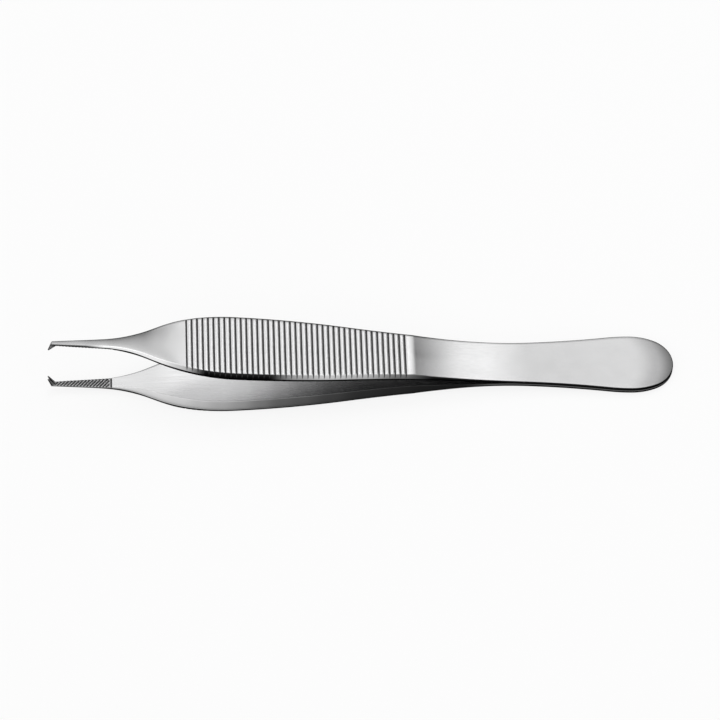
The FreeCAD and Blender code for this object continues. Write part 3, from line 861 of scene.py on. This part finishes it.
def steel_material():
    """Satin stainless steel with fine lengthwise brushing, and light and shade painted into its
    colour: a painted highlight on the ridge tops and other faces, painted shade on the groove floors
    and between the arms, and edges and sides painted dark in place of their shade and reflections."""
    material = bpy.data.materials.new("satin_steel")
    material.use_nodes = True
    nodes = Nodes(material.node_tree)
    output = nodes.add("ShaderNodeOutputMaterial")
    shader = nodes.add("ShaderNodeBsdfPrincipled")
    shader.inputs["Metallic"].default_value = 1.0
    shader.inputs["Anisotropic"].default_value = ANISOTROPY
    nodes.link(shader.outputs[0], output.inputs["Surface"])
    place = nodes.add("ShaderNodeTexCoord").outputs["Object"]
    stretch = nodes.add("ShaderNodeMapping")
    stretch.inputs["Scale"].default_value = BRUSHING_STRETCH
    nodes.link(place, stretch.inputs["Vector"])
    brushing = nodes.noise(stretch.outputs[0], *BRUSHING)
    cloud = nodes.noise(place, *CLOUD)
    grain = nodes.noise(place, *GRAIN)
    values = {key: nodes.attribute(key) for key in POINT_VALUES}
    darker, lighter = STEEL_GREYS
    colour = nodes.mix(cloud, grey(darker), grey(lighter))
    for key, reach, level in COATS:
        share = nodes.math("MULTIPLY", values[key], reach, clamp=True)
        colour = nodes.mix(share, colour, grey(level))
    nodes.link(colour, shader.inputs["Base Color"])
    # Painted dark points reflect less, as painted shade.
    specular = nodes.mix(values["painted_dark"], grey(1.0), grey(PAINTED_DARK_SPECULAR))
    nodes.link(specular, shader.inputs["Specular Tint"])
    rough = nodes.math("ADD", nodes.math("MULTIPLY", brushing, BRUSHING_ROUGHNESS), SATIN_ROUGHNESS)
    for key, more in ROUGHENED:
        rough = nodes.math("ADD", rough, nodes.math("MULTIPLY", values[key], more))
    nodes.link(rough, shader.inputs["Roughness"])
    relief = nodes.math("MULTIPLY", brushing, BRUSHING_RELIEF)
    height = nodes.math("ADD", relief, nodes.math("MULTIPLY", grain, 1 - BRUSHING_RELIEF))
    bump = nodes.add("ShaderNodeBump")
    bump.inputs["Strength"].default_value = BUMP_STRENGTH
    bump.inputs["Distance"].default_value = BUMP_HEIGHT
    nodes.link(height, bump.inputs["Height"])
    nodes.link(bump.outputs[0], shader.inputs["Normal"])
    return material


# Arms

steel = steel_material()
upper_place, lower_place = pair_placements()
for node, tooth_share, slant_sign, finish, placement in (
    ("single_tooth_arm", single_share, 1, UPPER_FINISH, upper_place),
    ("double_tooth_arm", double_share, -1, LOWER_FINISH, lower_place),
):
    arm = arm_mesh(node.replace("_arm", "_steel"), tooth_share, slant_sign, finish, placement)
    arm.data.materials.append(steel)
    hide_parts(node)
    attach(arm, "root")


# Floor, light and camera

BACKGROUND = 0.97
FLOOR_RADIUS = 6.0
FLOOR_SEGMENTS = 96
FLOOR_GREY = 0.85
FLOOR_GLOW = 0.85


def plain(level):
    return (level, level, level, 1.0)


def floor_material():
    """A pale floor that looks white by itself and still takes a soft shadow."""
    material = bpy.data.materials.new("pale_floor")
    material.use_nodes = True
    nodes = Nodes(material.node_tree)
    output = nodes.add("ShaderNodeOutputMaterial")
    diffuse = nodes.add("ShaderNodeBsdfDiffuse")
    diffuse.inputs["Color"].default_value = plain(FLOOR_GREY)
    glow = nodes.add("ShaderNodeEmission")
    glow.inputs["Color"].default_value = plain(BACKGROUND)
    path = nodes.add("ShaderNodeLightPath")
    seen = nodes.math("ADD", path.outputs["Is Camera Ray"], path.outputs["Is Glossy Ray"], clamp=True)
    seen = nodes.math("ADD", seen, path.outputs["Is Transmission Ray"], clamp=True)
    share = nodes.math("MULTIPLY", seen, FLOOR_GLOW)
    blend = nodes.add("ShaderNodeMixShader")
    nodes.link(share, blend.inputs[0])
    nodes.link(diffuse.outputs[0], blend.inputs[1])
    nodes.link(glow.outputs[0], blend.inputs[2])
    nodes.link(blend.outputs[0], output.inputs["Surface"])
    return material


def make_floor():
    """The surface that the part lies on."""
    mesh = bpy.data.meshes.new("floor")
    build = bmesh.new()
    bmesh.ops.create_circle(build, cap_ends=True, segments=FLOOR_SEGMENTS, radius=FLOOR_RADIUS)
    build.to_mesh(mesh)
    build.free()
    floor = bpy.data.objects.new("floor", mesh)
    floor.location.z = cad_low.z
    floor.data.materials.append(floor_material())
    bpy.context.scene.collection.objects.link(floor)


# Light of the studio's ceiling from -X to +X, and of its other parts, with the reach of each
# part as the two values of a direction between which it fades.
SKY_ACROSS = (
    (-1.0, 0.75), (-0.45, 0.55), (-0.16, 0.45), (-0.08, 1.15), (-0.045, 1.58), (-0.01, 1.58),
    (0.02, 0.85), (0.05, 0.70), (0.08, 0.78), (0.104, 0.90), (0.15, 1.10), (0.20, 1.40),
    (0.26, 1.75), (0.31, 1.85), (0.34, 1.40), (0.37, 0.85), (0.41, 0.26), (0.46, 0.12),
    (0.58, 0.15), (0.72, 0.60), (1.0, 0.8),
)
FRONT_LIGHT = 1.25
FRONT_EDGE = (-0.35, 0.25)
LOW_FRONT_LIGHT = 0.5
LOW_FRONT_EDGE = (-0.4, -0.1)
LOW_FRONT_TOP = (0.16, 0.42)
WALL_LIGHT = 0.07
WALL_EDGE = (0.2, 0.5)
WALL_TOP = (0.58, 0.74)
WALL_ENDS = (0.55, 0.75)
HORIZON_TOP = (0.08, 0.16)


def make_world():
    """Soft studio surroundings: a ceiling whose light changes from left to right, a bright
    front that is dimmer near the floor, a dark wall behind, and a pale horizon that carries
    the floor's tone on."""
    world = bpy.data.worlds.new("studio")
    bpy.context.scene.world = world
    world.use_nodes = True
    nodes = Nodes(world.node_tree)
    output = nodes.add("ShaderNodeOutputWorld")
    background = nodes.add("ShaderNodeBackground")
    nodes.link(background.outputs[0], output.inputs["Surface"])
    coordinates = nodes.add("ShaderNodeTexCoord")
    split = nodes.add("ShaderNodeSeparateXYZ")
    nodes.link(coordinates.outputs["Generated"], split.inputs[0])
    across, depth, height = (split.outputs[axis] for axis in "XYZ")

    def fade(value, edge, low, high):
        node = nodes.add("ShaderNodeMapRange", interpolation_type="SMOOTHSTEP")
        for key, number in zip(("From Min", "From Max", "To Min", "To Max"), (*edge, low, high)):
            node.inputs[key].default_value = number
        nodes.link(value, node.inputs["Value"])
        return node.outputs[0]

    def above(value, edge):
        return fade(value, edge, 0.0, 1.0)

    def below(value, edge):
        return fade(value, edge, 1.0, 0.0)

    sky = nodes.add("ShaderNodeValToRGB")
    sky.color_ramp.interpolation = "LINEAR"
    stops = sky.color_ramp.elements
    stops.remove(stops[1])
    brightest = max(level for place, level in SKY_ACROSS)
    for number, (place, level) in enumerate(SKY_ACROSS):
        position = (place + 1) / 2
        stop = stops[0] if number == 0 else stops.new(position)
        stop.position = position
        stop.color = grey(level / brightest)
    nodes.link(nodes.math("MULTIPLY", nodes.math("ADD", across, 1.0), 0.5), sky.inputs[0])
    ceiling = nodes.math("MULTIPLY", sky.outputs[0], brightest)
    colour = nodes.mix(below(depth, FRONT_EDGE), ceiling, plain(FRONT_LIGHT))
    low_front = nodes.math("MULTIPLY", below(depth, LOW_FRONT_EDGE), below(height, LOW_FRONT_TOP))
    colour = nodes.mix(low_front, colour, plain(LOW_FRONT_LIGHT))
    wall = nodes.math("MULTIPLY", above(depth, WALL_EDGE), below(height, WALL_TOP))
    wall = nodes.math("MULTIPLY", wall, below(nodes.math("ABSOLUTE", across), WALL_ENDS))
    colour = nodes.mix(wall, colour, plain(WALL_LIGHT))
    colour = nodes.mix(above(height, HORIZON_TOP), plain(BACKGROUND), colour)
    nodes.link(colour, background.inputs["Color"])


SOFTBOX_PLACE = Vector((0.1, 0.2, 1.0))
SOFTBOX_WIDTH = 0.8
SOFTBOX_POWER = 4.0


def make_light():
    """A softbox overhead, aimed at the part, that the steel doesn't mirror."""
    data = bpy.data.lights.new("softbox", "AREA")
    data.size = SOFTBOX_WIDTH
    data.energy = SOFTBOX_POWER
    lamp = bpy.data.objects.new("softbox", data)
    lamp.visible_glossy = False
    lamp.location = SOFTBOX_PLACE
    lamp.rotation_mode = "QUATERNION"
    lamp.rotation_quaternion = (-SOFTBOX_PLACE).to_track_quat("-Z", "Y")
    bpy.context.scene.collection.objects.link(lamp)


# The photograph's view, in an arm's own frame: which way its right and its top point.
PICTURE_WIDTH = 720
PIXELS_PER_MM = 5.218
PICTURE_RIGHT = Vector((0.9984, -0.0326, 0.0452))
PICTURE_UP = Vector((-0.0012, 0.7990, 0.6013))
TIP_PIXEL = 48.56
AXIS_PIXEL = 364.2
LENS = 300.0
SENSOR = 36.0
CLIP_START = 0.05
CLIP_END = 50.0


def make_camera():
    """The photograph's camera: far away, with a long lens, and square on the picture's middle."""
    right = (upper_place.to_3x3() @ PICTURE_RIGHT).normalized()
    up = (upper_place.to_3x3() @ PICTURE_UP).normalized()
    back = right.cross(up).normalized()
    up = back.cross(right)
    middle = PICTURE_WIDTH / 2
    along = (middle - TIP_PIXEL) / (PIXELS_PER_MM * PICTURE_RIGHT.x) - OVERALL_LENGTH
    lift = (AXIS_PIXEL - middle) / PIXELS_PER_MM
    target = upper_place @ (Vector((along, 0.0, 0.0)) * MILLIMETRE) + up * (lift * MILLIMETRE)
    away = LENS / SENSOR * PICTURE_WIDTH / PIXELS_PER_MM * MILLIMETRE
    data = bpy.data.cameras.new("camera")
    data.lens = LENS
    data.sensor_width = SENSOR
    data.clip_start = CLIP_START
    data.clip_end = CLIP_END
    camera = bpy.data.objects.new("camera", data)
    facing = Matrix((right, up, back)).transposed().to_4x4()
    camera.matrix_world = Matrix.Translation(target + back * away) @ facing
    bpy.context.scene.collection.objects.link(camera)
    bpy.context.scene.camera = camera


make_floor()
make_world()
make_light()
make_camera()
bpy.context.scene.view_settings.view_transform = "Standard"
